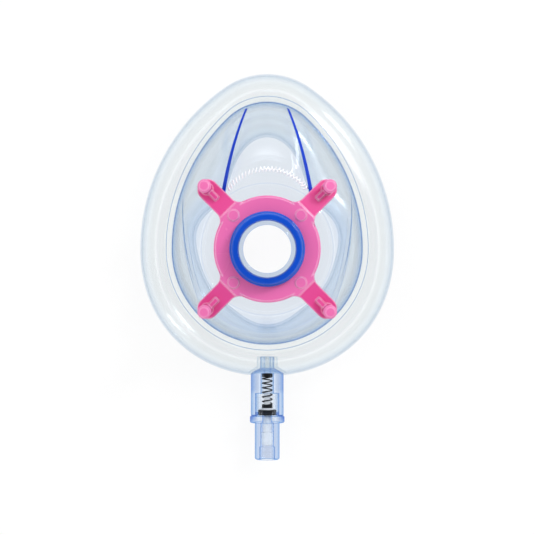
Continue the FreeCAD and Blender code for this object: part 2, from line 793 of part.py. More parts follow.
def air_ring(inset):
    """The cushion's outside form drawn in by inset, as two mirrored halves."""
    sections = []
    for step in range(17):
        degrees = -90 + 180 * step / 16
        angle = math.radians(degrees)
        far = outer_reach(angle, inset)
        near = inner_reach(angle, inset)
        across = (far - near) / 2
        tall = S["cushion_half"] - inset
        points = []
        for turn in range(16):
            around = 2 * math.pi * turn / 16
            reach = (far + near) / 2 + across * math.cos(around)
            height = S["cushion_mid"] + tall * math.sin(around)
            points.append(Vector(reach * math.cos(angle), reach * math.sin(angle), height))
        loop = Part.BSplineCurve()
        loop.interpolate(Points=points, PeriodicFlag=True)
        sections.append(Part.Wire([loop.toShape()]))
    half = Part.makeLoft(sections, True, False)
    return half.fuse(half.mirror(Vector(0, 0, 0), Vector(1, 0, 0)))


def seat(grow):
    """Step cut for the dome's rim, grown by the given film."""
    plate = rim.Shape.Faces[0]
    box = rim.Shape.BoundBox
    flat = min(rim.Shape.Faces, key=lambda face: face.CenterOfMass.z)
    edge = flat.OuterWire.makeOffset2D(S["neck_fit"] + grow) if grow else flat.OuterWire
    disc = Part.Face(edge).extrude(Vector(0, 0, 4 * S["rim_thick"]))
    disc.translate(Vector(0, 0, -grow))
    return disc


film = S["cushion_film"]
chin = S["cushion_chin"]
chin_way = Vector(0, -1, 0)
axle = Vector(0, S["port_depth"] - chin, S["cushion_mid"])
reach = S["port_depth"] + film
port_bore = Part.makeCylinder(S["valve_neck"] + S["neck_fit"], reach, axle, chin_way)
sleeve = Part.makeCylinder(S["valve_neck"] + S["port_wall"], reach, axle, chin_way)
mouth = Vector(0, S["neck_depth"] + S["valve_relief"] - chin, S["cushion_mid"])
relief_radius = S["valve_body"] + S["valve_relief"]
relief = Part.makeCylinder(relief_radius, S["port_depth"], mouth, chin_way)
deep = Part.makeCylinder(relief_radius + film, S["port_depth"], mouth - chin_way * film, chin_way)
cavity = air_ring(film).cut([seat(film), sleeve, deep])
floor = Part.makeBox(4 * chin, 4 * chin, chin, Vector(-2 * chin, -2 * chin, -chin))
cushion = doc.addObject("Part::Feature", "air_cushion")
cushion.Shape = air_ring(0).cut([cavity, seat(0), port_bore, relief, floor])
doc.recompute()

pieces = [dome, cushion, ring, collar, *lines, *valve]
names = (
    "dome",
    "air_cushion",
    "hook_ring",
    "collar_ring",
    "nose_line_left",
    "nose_line_right",
    "valve_housing",
    "valve_socket",
    "valve_stem",
    "valve_seal",
    "valve_spring",
)
for item in doc.Objects:
    if "Invalid" in item.State or "Error" in item.State:
        raise RuntimeError(f"{item.Label} did not compute: {item.State}")
os.makedirs("parts", exist_ok=True)
for piece, name in zip(pieces, names):
    piece.Label = name
    shape = piece.Shape
    if shape.isNull() or not shape.isValid() or len(shape.Solids) != 1:
        raise RuntimeError(f"{name}: {len(shape.Solids)} solids, valid {shape.isValid()}")
    shape.exportStep(f"parts/{name}.step")
    box = shape.BoundBox
    print(
        f"{name}: {box.XMin:.1f}..{box.XMax:.1f}  {box.YMin:.1f}..{box.YMax:.1f}"
        f"  {box.ZMin:.1f}..{box.ZMax:.1f}  {shape.Volume:.0f} mm3"
    )
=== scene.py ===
import math

import bmesh
import bpy
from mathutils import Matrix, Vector
from mathutils.bvhtree import BVHTree


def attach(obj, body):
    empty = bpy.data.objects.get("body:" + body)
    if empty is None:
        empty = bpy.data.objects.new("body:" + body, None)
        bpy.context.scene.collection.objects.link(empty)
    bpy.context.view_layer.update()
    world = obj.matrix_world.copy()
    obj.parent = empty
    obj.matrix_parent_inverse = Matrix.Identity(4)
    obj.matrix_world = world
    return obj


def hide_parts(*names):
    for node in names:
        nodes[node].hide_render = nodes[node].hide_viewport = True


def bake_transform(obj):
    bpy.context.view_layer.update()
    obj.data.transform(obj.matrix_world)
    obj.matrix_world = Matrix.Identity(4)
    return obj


MM = 0.001
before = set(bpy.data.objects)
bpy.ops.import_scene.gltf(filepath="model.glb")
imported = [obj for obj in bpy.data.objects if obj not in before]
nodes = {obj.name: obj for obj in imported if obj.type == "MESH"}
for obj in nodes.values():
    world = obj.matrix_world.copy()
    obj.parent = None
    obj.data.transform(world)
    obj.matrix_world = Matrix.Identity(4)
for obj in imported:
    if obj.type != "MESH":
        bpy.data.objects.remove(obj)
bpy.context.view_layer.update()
scene = bpy.context.scene


# Materials


def linear(code):
    """sRGB hex to linear RGBA."""
    steps = [int(code[k : k + 2], 16) / 255 for k in (0, 2, 4)]
    return [c / 12.92 if c <= 0.04045 else ((c + 0.055) / 1.055) ** 2.4 for c in steps] + [1]


def add(tree, kind, links=None, **settings):
    """One node with its settings; a setting named in_SOCKET sets that socket."""
    item = tree.nodes.new(kind)
    for name, value in settings.items():
        if name.startswith("in_"):
            key = name[3:]
            socket = item.inputs[int(key) if key.isdigit() else key.replace("_", " ")]
            socket.default_value = value
        else:
            setattr(item, name, value)
    for where, source in (links or {}).items():
        tree.links.new(source, item.inputs[where])
    return item


def new_material(name):
    material = bpy.data.materials.new(name)
    material.use_nodes = True
    tree = material.node_tree
    tree.nodes.clear()
    return material, tree


def finish_material(tree, shader, volume=None):
    output = add(tree, "ShaderNodeOutputMaterial")
    tree.links.new(shader, output.inputs["Surface"])
    if volume:
        tree.links.new(volume, output.inputs["Volume"])


def mould_texture(tree, place, depth, size, normal=None):
    """Bump from fine mould grain or slow ripples of a size in millimetres."""
    grain = add(tree, "ShaderNodeTexNoise", {"Vector": place}, in_Scale=1 / (size * MM), in_Detail=2.0)
    links = {"Height": grain.outputs["Fac"]}
    if normal:
        links["Normal"] = normal
    bump = add(tree, "ShaderNodeBump", links, in_Strength=depth, in_Distance=0.05 * MM)
    return bump.outputs["Normal"]


# mould grain in millimetres, drawn coarser than the real one so that it shows
GRAIN = 0.35


# sockets 1 to 4 of a Map Range are its start, its end and the values there
def moulded(name, colour, deep, roughness, grain, swirl=18.0, edge=0.25, paler=None, rim=None, shine=0.5):
    """Opaque moulded plastic: tone drift from the melt, fine mould texture, softened edges, an optional paler
    share of painted light, and a painted highlight that makes the edges paler.
    """
    material, tree = new_material(name)
    place = add(tree, "ShaderNodeTexCoord").outputs["Object"]
    drift = add(tree, "ShaderNodeTexNoise", {"Vector": place}, in_Scale=1 / (swirl * MM), in_Detail=3.0)
    links = {"Factor": drift.outputs["Fac"]}
    tone = add(tree, "ShaderNodeMix", links, data_type="RGBA", in_6=linear(colour), in_7=linear(deep))
    # painted light: a paler share of the colour where the part's tops face up to the lamps
    if paler:
        share, pale = paler(tree, place)
        links = {"Factor": share, 6: tone.outputs[2]}
        tone = add(tree, "ShaderNodeMix", links, data_type="RGBA", in_7=linear(pale))
    soft = add(tree, "ShaderNodeBevel", in_Radius=edge * MM, samples=4).outputs["Normal"]
    if rim:
        # painted highlight: a paler rim colour on the rounded edges, where the softened normal turns away
        # from the true one
        flat = add(tree, "ShaderNodeNewGeometry").outputs["Normal"]
        turn = add(tree, "ShaderNodeVectorMath", {0: soft, 1: flat}, operation="DOT_PRODUCT")
        links = {"Value": turn.outputs["Value"]}
        near = add(tree, "ShaderNodeMapRange", links, in_1=0.998, in_2=0.95, in_3=0.0, in_4=0.95)
        links = {"Factor": near.outputs[0], 6: tone.outputs[2]}
        tone = add(tree, "ShaderNodeMix", links, data_type="RGBA", in_7=linear(rim))
    links = {"Value": drift.outputs["Fac"]}
    polish = add(tree, "ShaderNodeMapRange", links, in_3=roughness * 0.85, in_4=roughness * 1.2)
    normal = mould_texture(tree, place, grain, GRAIN, soft)
    links = {"Base Color": tone.outputs[2], "Normal": normal, "Roughness": polish.outputs["Result"]}
    shader = add(tree, "ShaderNodeBsdfPrincipled", links, in_Specular_IOR_Level=shine)
    finish_material(tree, shader.outputs["BSDF"])
    return material


# hook ring in millimetres: edge of the flat plate, and heights between the arms and the heads
PLATE_EDGE = (14.4, 15.0)
HEAD_FOOT = (31.6, 32.4)


def painted_light_on_tops(tree, place):
    """Share of the painted light: a paler pink on the flat plate inside the arms and on the heads above the
    arms, which face up to the lamps.
    """
    parts = add(tree, "ShaderNodeSeparateXYZ", {0: place}).outputs
    flat = add(tree, "ShaderNodeCombineXYZ", {0: parts["X"], 1: parts["Y"]}).outputs[0]
    reach = add(tree, "ShaderNodeVectorMath", {0: flat}, operation="LENGTH").outputs["Value"]
    start, end = PLATE_EDGE
    inner = add(
        tree, "ShaderNodeMapRange", {"Value": reach}, in_1=start * MM, in_2=end * MM, in_3=1.0, in_4=0.0
    )
    start, end = HEAD_FOOT
    tall = add(tree, "ShaderNodeMapRange", {"Value": parts["Z"]}, in_1=start * MM, in_2=end * MM)
    share = add(tree, "ShaderNodeMath", {0: inner.outputs[0], 1: tall.outputs[0]}, operation="MAXIMUM")
    return share.outputs[0], "EA6EAE"


# painted shade on the lower wall of the valve's mouth: heights and places along the valve between which the
# tint comes in
MOUTH_WALL = (7.8, 5.2, -46.4, -47.6)
MOUTH_SHARE = 0.16
# painted shade on the sides of the thick walls, which stand edge on from above: start and end along the
# valve, distances from its middle between which the tint comes in, and its strongest share
SIDE_SHADE = ((-47.2, -44.9, 2.6, 5.4, 0.9), (-39.4, -33.6, 1.6, 5.0, 0.3))
FADE_IN, FADE_OUT = 1.4, 0.3


def painted_deep_sides(tree, place):
    """Share of the painted shade: a deeper blue on the sides of the flange and of the thick shoulder, and
    under the mouth's bore.
    """
    parts = add(tree, "ShaderNodeSeparateXYZ", {0: place}).outputs
    side = add(tree, "ShaderNodeMath", {0: parts["X"]}, operation="ABSOLUTE").outputs[0]
    top, bottom, start, end = MOUTH_WALL
    links = {"Value": parts["Z"]}
    low = add(tree, "ShaderNodeMapRange", links, in_1=top * MM, in_2=bottom * MM, in_4=MOUTH_SHARE)
    mouth = add(tree, "ShaderNodeMapRange", {"Value": parts["Y"]}, in_1=start * MM, in_2=end * MM)
    total = add(tree, "ShaderNodeMath", {0: low.outputs[0], 1: mouth.outputs[0]}, operation="MULTIPLY")
    for start, end, near, far, most in SIDE_SHADE:
        wide = add(tree, "ShaderNodeMapRange", {"Value": side}, in_1=near * MM, in_2=far * MM, in_4=most)
        links = {"Value": parts["Y"]}
        low = add(tree, "ShaderNodeMapRange", links, in_1=start * MM, in_2=(start + FADE_IN) * MM)
        high = add(tree, "ShaderNodeMapRange", links, in_1=end * MM, in_2=(end - FADE_OUT) * MM)
        inside = add(tree, "ShaderNodeMath", {0: low.outputs[0], 1: high.outputs[0]}, operation="MULTIPLY")
        share = add(tree, "ShaderNodeMath", {0: inside.outputs[0], 1: wide.outputs[0]}, operation="MULTIPLY")
        total = add(tree, "ShaderNodeMath", {0: share.outputs[0], 1: total.outputs[0]}, operation="MAXIMUM")
    return total.outputs[0], "3C88DE"


def painted_rim_shade(tree, place):
    """Share of the painted shade: a pale blue strongest at the rim, gone at the strip's inner edge."""
    across = add(tree, "ShaderNodeUVMap", uv_map="across")
    inward = add(tree, "ShaderNodeSeparateXYZ", {0: across.outputs["UV"]}).outputs["X"]
    left = add(tree, "ShaderNodeMath", {1: inward}, operation="SUBTRACT", in_0=1.0)
    share = add(tree, "ShaderNodeMath", {0: left.outputs[0]}, operation="POWER", in_1=2.2)
    return share.outputs[0], "DDE9F9"


# mirrored share of a clear wall: 4 % head on, and at a graze so much that the walls behind still show
HEAD_ON, GRAZE = 0.04, 0.45


def clear(
    name, tint, edge_tint, reach, thick_tint, density, roughness, ripple, ripple_size, milk=0.03, deeper=None
):
    """Clear plastic with thin walls: bluer where a wall turns away or is thick, glossy, not bent."""
    material, tree = new_material(name)
    place = add(tree, "ShaderNodeTexCoord").outputs["Object"]
    normal = mould_texture(tree, place, ripple, ripple_size)
    facing = add(tree, "ShaderNodeLayerWeight", {"Normal": normal}, in_Blend=0.5).outputs["Facing"]
    edge = add(tree, "ShaderNodeMath", {0: facing}, operation="POWER", in_1=reach)
    # lamp light on its way in keeps its colour at a slanted wall
    shadow = add(tree, "ShaderNodeLightPath").outputs["Is Shadow Ray"]
    seen = add(tree, "ShaderNodeMath", {1: shadow}, operation="SUBTRACT", in_0=1.0)
    edge = add(tree, "ShaderNodeMath", {0: edge.outputs[0], 1: seen.outputs[0]}, operation="MULTIPLY")
    links = {"Factor": edge.outputs[0]}
    tone = add(tree, "ShaderNodeMix", links, data_type="RGBA", in_6=linear(tint), in_7=linear(edge_tint))
    # a deeper share from a mask: painted shade
    if deeper:
        share, deep = deeper(tree, place)
        links = {"Factor": share, 6: tone.outputs[2]}
        tone = add(tree, "ShaderNodeMix", links, data_type="RGBA", in_7=linear(deep))
    through = add(tree, "ShaderNodeBsdfTransparent", {"Color": tone.outputs[2]})
    drift = add(tree, "ShaderNodeTexNoise", {"Vector": place}, in_Scale=1 / (6 * MM), in_Detail=3.0)
    links = {"Factor": drift.outputs["Fac"]}
    cloud = add(tree, "ShaderNodeMix", links, data_type="RGBA", in_6=linear("E9F1FB"), in_7=linear("DCE8F6"))
    haze = add(tree, "ShaderNodeBsdfDiffuse", {"Color": cloud.outputs[2], "Normal": normal})
    body = add(tree, "ShaderNodeMixShader", {1: through.outputs[0], 2: haze.outputs[0]}, in_0=milk)
    links = {"Normal": normal}
    gloss = add(tree, "ShaderNodeBsdfGlossy", links, in_Color=(1, 1, 1, 1), in_Roughness=roughness)
    graze = add(tree, "ShaderNodeMath", {0: facing}, operation="POWER", in_1=5.0)
    mirror = add(tree, "ShaderNodeMapRange", {"Value": graze.outputs[0]}, in_3=HEAD_ON, in_4=GRAZE)
    links = {0: mirror.outputs[0], 1: body.outputs[0], 2: gloss.outputs[0]}
    shader = add(tree, "ShaderNodeMixShader", links)
    absorb = add(tree, "ShaderNodeVolumeAbsorption", in_Color=linear(thick_tint), in_Density=density)
    finish_material(tree, shader.outputs[0], absorb.outputs["Volume"])
    return material


# soft PVC, injection moulded: clear with a cool blue cast at each turned wall, slow flow ripples in its gloss
clear_dome = clear(
    "dome_pvc_injection_moulded",
    tint="F7FAFD",
    edge_tint="A8C8F0",
    reach=3.4,
    thick_tint="D4DFEE",
    density=45.0,
    roughness=0.08,
    ripple=0.4,
    ripple_size=9.0,
    milk=0.02,
)
# PVC film, drawn thin and welded: almost no colour, and a softer gloss on broad waves
clear_film = clear(
    "cushion_pvc_film_welded",
    tint="FEFFFF",
    edge_tint="DFE8F1",
    reach=2.4,
    thick_tint="E0E8F0",
    density=35.0,
    roughness=0.18,
    ripple=0.15,
    ripple_size=14.0,
    milk=0.015,
)
# polycarbonate, moulded in a polished tool: hard bright gloss, blue wherever its thick walls stand edge on,
# with painted shade deeper blue on the sides and on the mouth's lower wall
clear_valve = clear(
    "valve_polycarbonate_moulded",
    tint="FDFEFF",
    edge_tint="59AAE6",
    reach=1.7,
    thick_tint="7CB7EC",
    density=40.0,
    roughness=0.05,
    ripple=0.2,
    ripple_size=5.0,
    milk=0.004,
    deeper=painted_deep_sides,
)
# PVC melted and set again: a fine line, bluer than the walls that it joins; along the cheek creases the same
# blue line is painted shade
weld_and_crease_shade = clear(
    "weld_pvc_tinted",
    tint="DCE8F6",
    edge_tint="B0CAEC",
    reach=1.0,
    thick_tint="6CA0DC",
    density=50.0,
    roughness=0.12,
    ripple=0.3,
    ripple_size=3.0,
)
# PVC pressed flat by the welding tool, with painted shade: a pale blue tone at the rim that runs out inwards
weld_strip = clear(
    "weld_strip_pvc",
    tint="FFFFFF",
    edge_tint="EEF3FA",
    reach=2.0,
    thick_tint="E0E8F2",
    density=30.0,
    roughness=0.12,
    ripple=0.3,
    ripple_size=3.0,
    milk=0.01,
    deeper=painted_rim_shade,
)
# PVC from a frosted part of the mould: each rib scatters the light and stands out white
frosted = moulded("knurl_pvc_frosted", "FBFDFF", "F4F8FC", roughness=0.5, grain=0.3, edge=0.1)
# polypropylene, moulded: clean strong pink, with painted light paler on the flat plate and heads that face
# up, and a painted highlight at every thin edge
pink = moulded(
    "hook_ring_polypropylene_satin",
    "E64C96",
    "DF4490",
    roughness=0.26,
    grain=0.12,
    edge=0.6,
    paler=painted_light_on_tops,
    rim="FDB4DA",
)
# ABS from a polished mould: deep even blue under a sharp gloss, with a painted highlight: a lighter line at
# its rounded edges
blue = moulded("collar_abs_gloss", "0E50CA", "0B49C1", roughness=0.14, grain=0.05, edge=0.35, rim="5A8CE4")
# PVC set flush into the dome: flat dark blue with next to no gloss of its own
dark_blue = moulded("nose_line_pvc_inlay", "003FCB", "0037BC", roughness=0.45, grain=0.1, edge=0.1, shine=0.2)
# acetal, moulded: opaque white with a waxy gloss
white = moulded("stem_acetal_moulded", "FFFFFF", "FAFBFC", roughness=0.3, grain=0.1, edge=0.15)
# silicone, moulded: black with a dull face that hardly reflects
black_rubber = moulded(
    "seal_silicone_black", "06070A", "030406", roughness=0.5, grain=0.2, edge=0.1, shine=0.25
)
# steel wire with a black coating: black, with a thin dim line of gloss along each turn
black_wire = moulded(
    "spring_wire_black_coated", "08090C", "050608", roughness=0.3, grain=0.1, edge=0.02, shine=0.3
)

finishes = {
    "dome": clear_dome,
    "air_cushion": clear_film,
    "hook_ring": pink,
    "collar_ring": blue,
    "nose_line_left": dark_blue,
    "nose_line_right": dark_blue,
    "valve_housing": clear_valve,
    "valve_socket": clear_valve,
    "valve_stem": white,
    "valve_seal": black_rubber,
    "valve_spring": black_wire,
}
for name, material in finishes.items():
    node = nodes[name]
    node.data.materials.clear()
    node.data.materials.append(material)


# Air cushion: film shell from the same outlines as the solid

CHIN, SQUARE, NOSE, TIP = 34.4, 2.1, 47.4, 20.0
MIDDLE, HALF, FILM, LIP = 7.8, 8.0, 0.35, 1.8
RIM_CHIN, RIM_NOSE, RIM_TIP, RIM_UNDER = 25.5, 39.4, 15.0, 14.6
OPENING = (20.156, 2.404, -2.485, -1.455, 2.043, 1.097, -0.68)
# inflation port: hole and sleeve round the valve's neck, hollow round its body
NECK, SLEEVE, PORT = 1.93, 2.8, 29.2
BODY, SKIN = 4.5, 0.45


def egg_reach(angle, chin, nose, tip, square=2.0):
    c = nose - tip
    r = (chin * chin + c * c - tip * tip) / (2 * (chin - tip))
    sine, cosine = math.sin(angle), abs(math.cos(angle))
    if sine <= 0:
        return chin / (cosine**square + abs(sine) ** square) ** (1 / square)
    swing = (r - chin) * cosine
    side = -swing + math.sqrt(swing * swing + r * r - (r - chin) ** 2)
    if side * sine < c + tip * c / (r - tip):
        return side
    return c * sine + math.sqrt(tip * tip - (c * cosine) ** 2)


def opening_reach(angle):
    reach = OPENING[0]
    for k, share in enumerate(OPENING[1:], 1):
        reach += share * (math.sin(k * angle) if k % 2 else math.cos(k * angle))
    return reach


def ring_profile(angle, inset):
    """Closed section (reach, height) of the cushion at one angle, with the step for the rim."""
    far = egg_reach(angle, CHIN - inset, NOSE - inset, TIP - inset, SQUARE)
    near = opening_reach(angle) + inset * LIP
    middle, across, tall = (far + near) / 2, (far - near) / 2, HALF - inset
    edge = egg_reach(angle, RIM_CHIN, RIM_NOSE, RIM_TIP) + 0.05 + inset
    shelf = RIM_UNDER - 0.03 - inset
    first = math.acos(max(-1, min(1, (edge - middle) / across)))
    second = math.pi - math.asin((shelf - MIDDLE) / tall)
    points = []

    def at(turn):
        height = MIDDLE + tall * math.sin(turn)
        reach = middle + across * math.cos(turn)
        return reach, max(height, inset * 0.75)

    for k in range(30):
        points.append(at(first * k / 30))
    top = at(first)
    for share in (0, 0.1, 0.5, 0.9):
        points.append((edge, top[1] + (shelf - top[1]) * share))
    inner = at(second)
    for k in range(6):
        points.append((edge + (inner[0] - edge) * k / 6, shelf))
    rest = 2 * math.pi - second
    for k in range(42):
        points.append(at(second + rest * k / 42))
    return points


SEGMENTS = 460


def around(steps):
    """Angles of a full turn, each with the bearing that makes both halves of an outline alike."""
    angles = [2 * math.pi * k / steps for k in range(steps)]
    return [(angle, math.asin(math.sin(angle))) for angle in angles]


def corner(mesh, reach, angle, height):
    """A corner at a reach from the mask's middle and a height, both in millimetres."""
    return mesh.verts.new(Vector((reach * math.cos(angle), reach * math.sin(angle), height)) * MM)


def skin(mesh, rows, closed=True):
    """Faces between neighbouring rows of corners; an open run gets a face at each end."""
    after = rows[1:] + rows[:1] if closed else rows[1:]
    for a, b in zip(rows, after):
        for j in range(len(a)):
            mesh.faces.new((a[j - 1], b[j - 1], b[j], a[j]))
    if not closed:
        mesh.faces.new(rows[0])
        mesh.faces.new(rows[-1])
    bmesh.ops.recalc_face_normals(mesh, faces=mesh.faces)


def to_object(name, mesh):
    data = bpy.data.meshes.new(name)
    mesh.to_mesh(data)
    mesh.free()
    item = bpy.data.objects.new(name, data)
    scene.collection.objects.link(item)
    return item


def ring_mesh(name, inset):
    mesh = bmesh.new()
    rows = []
    for angle, bearing in around(SEGMENTS):
        rows.append([corner(mesh, reach, angle, height) for reach, height in ring_profile(bearing, inset)])
    skin(mesh, rows)
    return to_object(name, mesh)


def turned(name, outline, sides=64):
    """Solid of revolution about the valve's axis from corners (radius, distance from the connector)."""
    mesh = bmesh.new()
    rows = []
    for radius, out in outline:
        row = []
        for k in range(sides):
            turn = 2 * math.pi * k / sides
            place = (radius * math.cos(turn), -out, MIDDLE + radius * math.sin(turn))
            row.append(mesh.verts.new(Vector(place) * MM))
        rows.append(row)
    skin(mesh, rows, closed=False)
    return to_object(name, mesh)


def combine(target, tool, how):
    change = target.modifiers.new(how, "BOOLEAN")
    change.operation = how
    change.solver = "EXACT"
    change.object = tool
    bpy.context.view_layer.update()
    result = bpy.data.meshes.new_from_object(target.evaluated_get(bpy.context.evaluated_depsgraph_get()))
    target.modifiers.clear()
    target.data = result
    bpy.data.objects.remove(tool)
    return target


def smooth(item, degrees=35):
    for face in item.data.polygons:
        face.use_smooth = True
    item.data.set_sharp_from_angle(angle=math.radians(degrees))


def dress(item, material):
    """Gives a piece of the mask its material and attaches it to the mask's body."""
    item.data.materials.clear()
    item.data.materials.append(material)
    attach(item, "mask")


cushion = ring_mesh("air_cushion_film", 0.0)
cushion = combine(cushion, ring_mesh("cushion_air", FILM), "DIFFERENCE")
# the film is drawn in as a cup round the valve's shoulder and as a sleeve round its neck
NECK_END, BODY_START, BEYOND = 2.2, 0.72, 3.0
neck_out, body_out, far_out = CHIN - NECK_END, CHIN - BODY_START, CHIN + BEYOND
cup_outline = (
    (SLEEVE, PORT),
    (SLEEVE, neck_out - SKIN),
    (BODY + SKIN, body_out - SKIN),
    (BODY + SKIN, far_out),
)
cup = combine(turned("cup", cup_outline), ring_mesh("inside_ring", 0.0), "INTERSECT")
cushion = combine(cushion, cup, "UNION")
port_outline = ((NECK, PORT - 1), (NECK, neck_out), (BODY, body_out), (BODY, far_out + 1))
cushion = combine(cushion, turned("port", port_outline), "DIFFERENCE")
smooth(cushion)
dress(cushion, clear_film)
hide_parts("air_cushion")


# Weld beads: fine tinted lines where the film meets the dome's rim, and outside it on the film

RIM_TOP = 15.75
RIM_BEAD, SEAM_BEAD = 0.16, 0.09
SEAM = 1.6


def bead_ring(name, outline, rise, radius, steps=360, sides=10):
    """Closed round bead that follows an outline and a height, both given for each bearing."""
    mesh = bmesh.new()
    rows = []
    for angle, bearing in around(steps):
        reach, height = outline(bearing), rise(bearing)
        row = []
        for j in range(sides):
            turn = 2 * math.pi * j / sides
            row.append(corner(mesh, reach + radius * math.cos(turn), angle, height + radius * math.sin(turn)))
        rows.append(row)
    skin(mesh, rows)
    return to_object(name, mesh)


def rim_reach(angle):
    return egg_reach(angle, RIM_CHIN, RIM_NOSE, RIM_TIP)


def seam_reach(angle):
    return rim_reach(angle) + SEAM


def seam_height(angle):
    """Height of the film's skin under the seam."""
    far, near = egg_reach(angle, CHIN, NOSE, TIP, SQUARE), opening_reach(angle)
    share = (seam_reach(angle) - (far + near) / 2) / ((far - near) / 2)
    return MIDDLE + HALF * math.sqrt(1 - share * share)


rim_bead = bead_ring("rim_weld", rim_reach, lambda bearing: RIM_TOP, RIM_BEAD)
seam_bead = bead_ring("film_seam", seam_reach, seam_height, SEAM_BEAD)
for bead, slot in ((rim_bead, "clear_dome"), (seam_bead, "clear_film")):
    smooth(bead, 80)
    dress(bead, weld_and_crease_shade)


# strip pressed by the welding tool inside the rim, and how far its foot stands under its top edge
STRIP_TOP, STRIP_WIDTH, STRIP_RISE, STRIP_FOOT = 15.84, 2.2, 0.1, -0.05


def strip_ring(name, outline, steps=360, parts=8):
    """Closed low strip inside an outline; the U of its map runs from 0 at the rim to 1 inside."""
    mesh = bmesh.new()
    across = mesh.loops.layers.uv.new("across")
    upper = [(k / parts, STRIP_RISE * math.sin(math.pi * min(k / parts, 0.5))) for k in range(parts + 1)]
    section = upper + [(share, STRIP_FOOT) for share, up in reversed(upper)]
    rows = []
    for angle, bearing in around(steps):
        reach = outline(bearing)
        row = [corner(mesh, reach - share * STRIP_WIDTH, angle, STRIP_TOP + up) for share, up in section]
        rows.append(row)
    skin(mesh, rows)
    mesh.verts.index_update()
    for face in mesh.faces:
        for loop in face.loops:
            loop[across].uv = (section[loop.vert.index % len(section)][0], 0.5)
    return to_object(name, mesh)


strip = strip_ring("rim_weld_strip", rim_reach)
smooth(strip, 80)
dress(strip, weld_strip)


# Crown knurl: crossed ribs on the nose side of the crown, seated on the dome's own surface

dome_mesh = nodes["dome"].data
dome_tree = BVHTree.FromPolygons(
    [corner.co for corner in dome_mesh.vertices], [list(face.vertices) for face in dome_mesh.polygons]
)
KNURL_Y, KNURL_IN, KNURL_OUT = 8.65, 11.85, 13.25


def dome_top(x, y):
    """Height of the dome's outer skin at a place given in millimetres."""
    hit = dome_tree.ray_cast(Vector((x * MM, y * MM, 0.06)), Vector((0, 0, -1)))[0]
    return hit.z / MM if hit else None


# outer edge of each cheek flat, from the nose end round to the chin side
CREASE = (
    (-22.5, 14.0),
    (-22.7, 10.5),
    (-22.5, 6.5),
    (-22.0, 2.0),
    (-21.3, -2.0),
    (-20.4, -5.5),
    (-19.2, -9.4),
)
# how thin it starts and ends, and over how many stations it grows and runs out
THIN, GROWS, RUNS_OUT = 0.15, 4, 10


def crease(name, side, radius=0.13, sides=8):
    """A fine raised line that follows the dome's skin through the crease points."""
    mesh = bmesh.new()
    spots = []
    for (x0, y0), (x1, y1) in zip(CREASE, CREASE[1:]):
        for k in range(4):
            spots.append((side * (x0 + (x1 - x0) * k / 4), y0 + (y1 - y0) * k / 4))
    rows = []
    for k, (x, y) in enumerate(spots):
        taper = min(1, THIN + k / GROWS, THIN + (len(spots) - 1 - k) / RUNS_OUT)
        row = []
        for j in range(sides):
            turn = 2 * math.pi * j / sides
            spot = x + radius * taper * math.cos(turn)
            height = dome_top(spot, y) + radius * taper * math.sin(turn)
            row.append(mesh.verts.new(Vector((spot, y, height)) * MM))
        rows.append(row)
    skin(mesh, rows, closed=False)
    return to_object(name, mesh)


# painted shade: a blue line laid along each cheek crease, where the dome's wall turns
for name, side in (("cheek_crease_left", 1), ("cheek_crease_right", -1)):
    line = crease(name, side)
    smooth(line, 80)
    dress(line, weld_and_crease_shade)


def rib(mesh, bearing, lean, width=0.23, rise=0.24):
    """A ridge with a rounded crest that follows the skin across the knurled band."""
    stations = []
    for k in range(5):
        reach = KNURL_IN + (KNURL_OUT - KNURL_IN) * k / 4
        angle = math.radians(bearing) + lean * (k / 4 - 0.5) / KNURL_OUT
        x, y = reach * math.sin(angle), KNURL_Y + reach * math.cos(angle)
        run = Vector((math.sin(angle), math.cos(angle), 0)) * (KNURL_OUT - KNURL_IN)
        run += Vector((math.cos(angle), -math.sin(angle), 0)) * lean
        side = Vector((run.y, -run.x, 0)).normalized()
        taper = (0.55, 0.95, 1.0, 0.95, 0.55)[k]
        ring = []
        for share, up in ((-1, -0.1), (-0.6, 0.72), (0, 1.0), (0.6, 0.72), (1, -0.1)):
            spot = Vector((x, y, 0)) + side * (share * width * taper)
            ground = dome_top(spot.x, spot.y)
            if ground is None:
                return
            ring.append(mesh.verts.new((spot.x * MM, spot.y * MM, (ground + up * rise * taper) * MM)))
        stations.append(ring)
    for a, b in zip(stations, stations[1:]):
        for k in range(4):
            mesh.faces.new((a[k], a[k + 1], b[k + 1], b[k]))
        mesh.faces.new((a[4], a[0], b[0], b[4]))
    mesh.faces.new(list(reversed(stations[0])))
    mesh.faces.new(stations[-1])


# bearing from one rib to the next and from a rib to the one that crosses it, in degrees, and their lean
RIB_STEP, CROSSED, RIB_LEAN = 4.5, 2.2, 0.8
knurl_mesh = bmesh.new()
for k in range(-12, 13):
    rib(knurl_mesh, k * RIB_STEP, RIB_LEAN)
for k in range(-2, 11):
    rib(knurl_mesh, k * RIB_STEP + CROSSED, -RIB_LEAN)
bmesh.ops.recalc_face_normals(knurl_mesh, faces=knurl_mesh.faces)
knurl = to_object("crown_knurl", knurl_mesh)
smooth(knurl, 60)
dress(knurl, frosted)


# Spring of the check valve: a copy of the solid's own coil, on the valve's axis between its closed end turns

wire_mesh = nodes["valve_spring"].data.copy()
wire_mesh.transform(nodes["valve_spring"].matrix_world)
coil = bpy.data.objects.new("valve_coil", wire_mesh)
scene.collection.objects.link(coil)
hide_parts("valve_spring")
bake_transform(coil)


# Studio: a sheet of paper lit under the mask that falls off outside it

floor_mesh = bmesh.new()
bmesh.ops.create_grid(floor_mesh, x_segments=1, y_segments=1, size=3.0)
floor = to_object("floor", floor_mesh)
# paper, pressed from fibres: plain matt white
paper, tree = new_material("backdrop_paper_white")
place = add(tree, "ShaderNodeTexCoord").outputs["Object"]
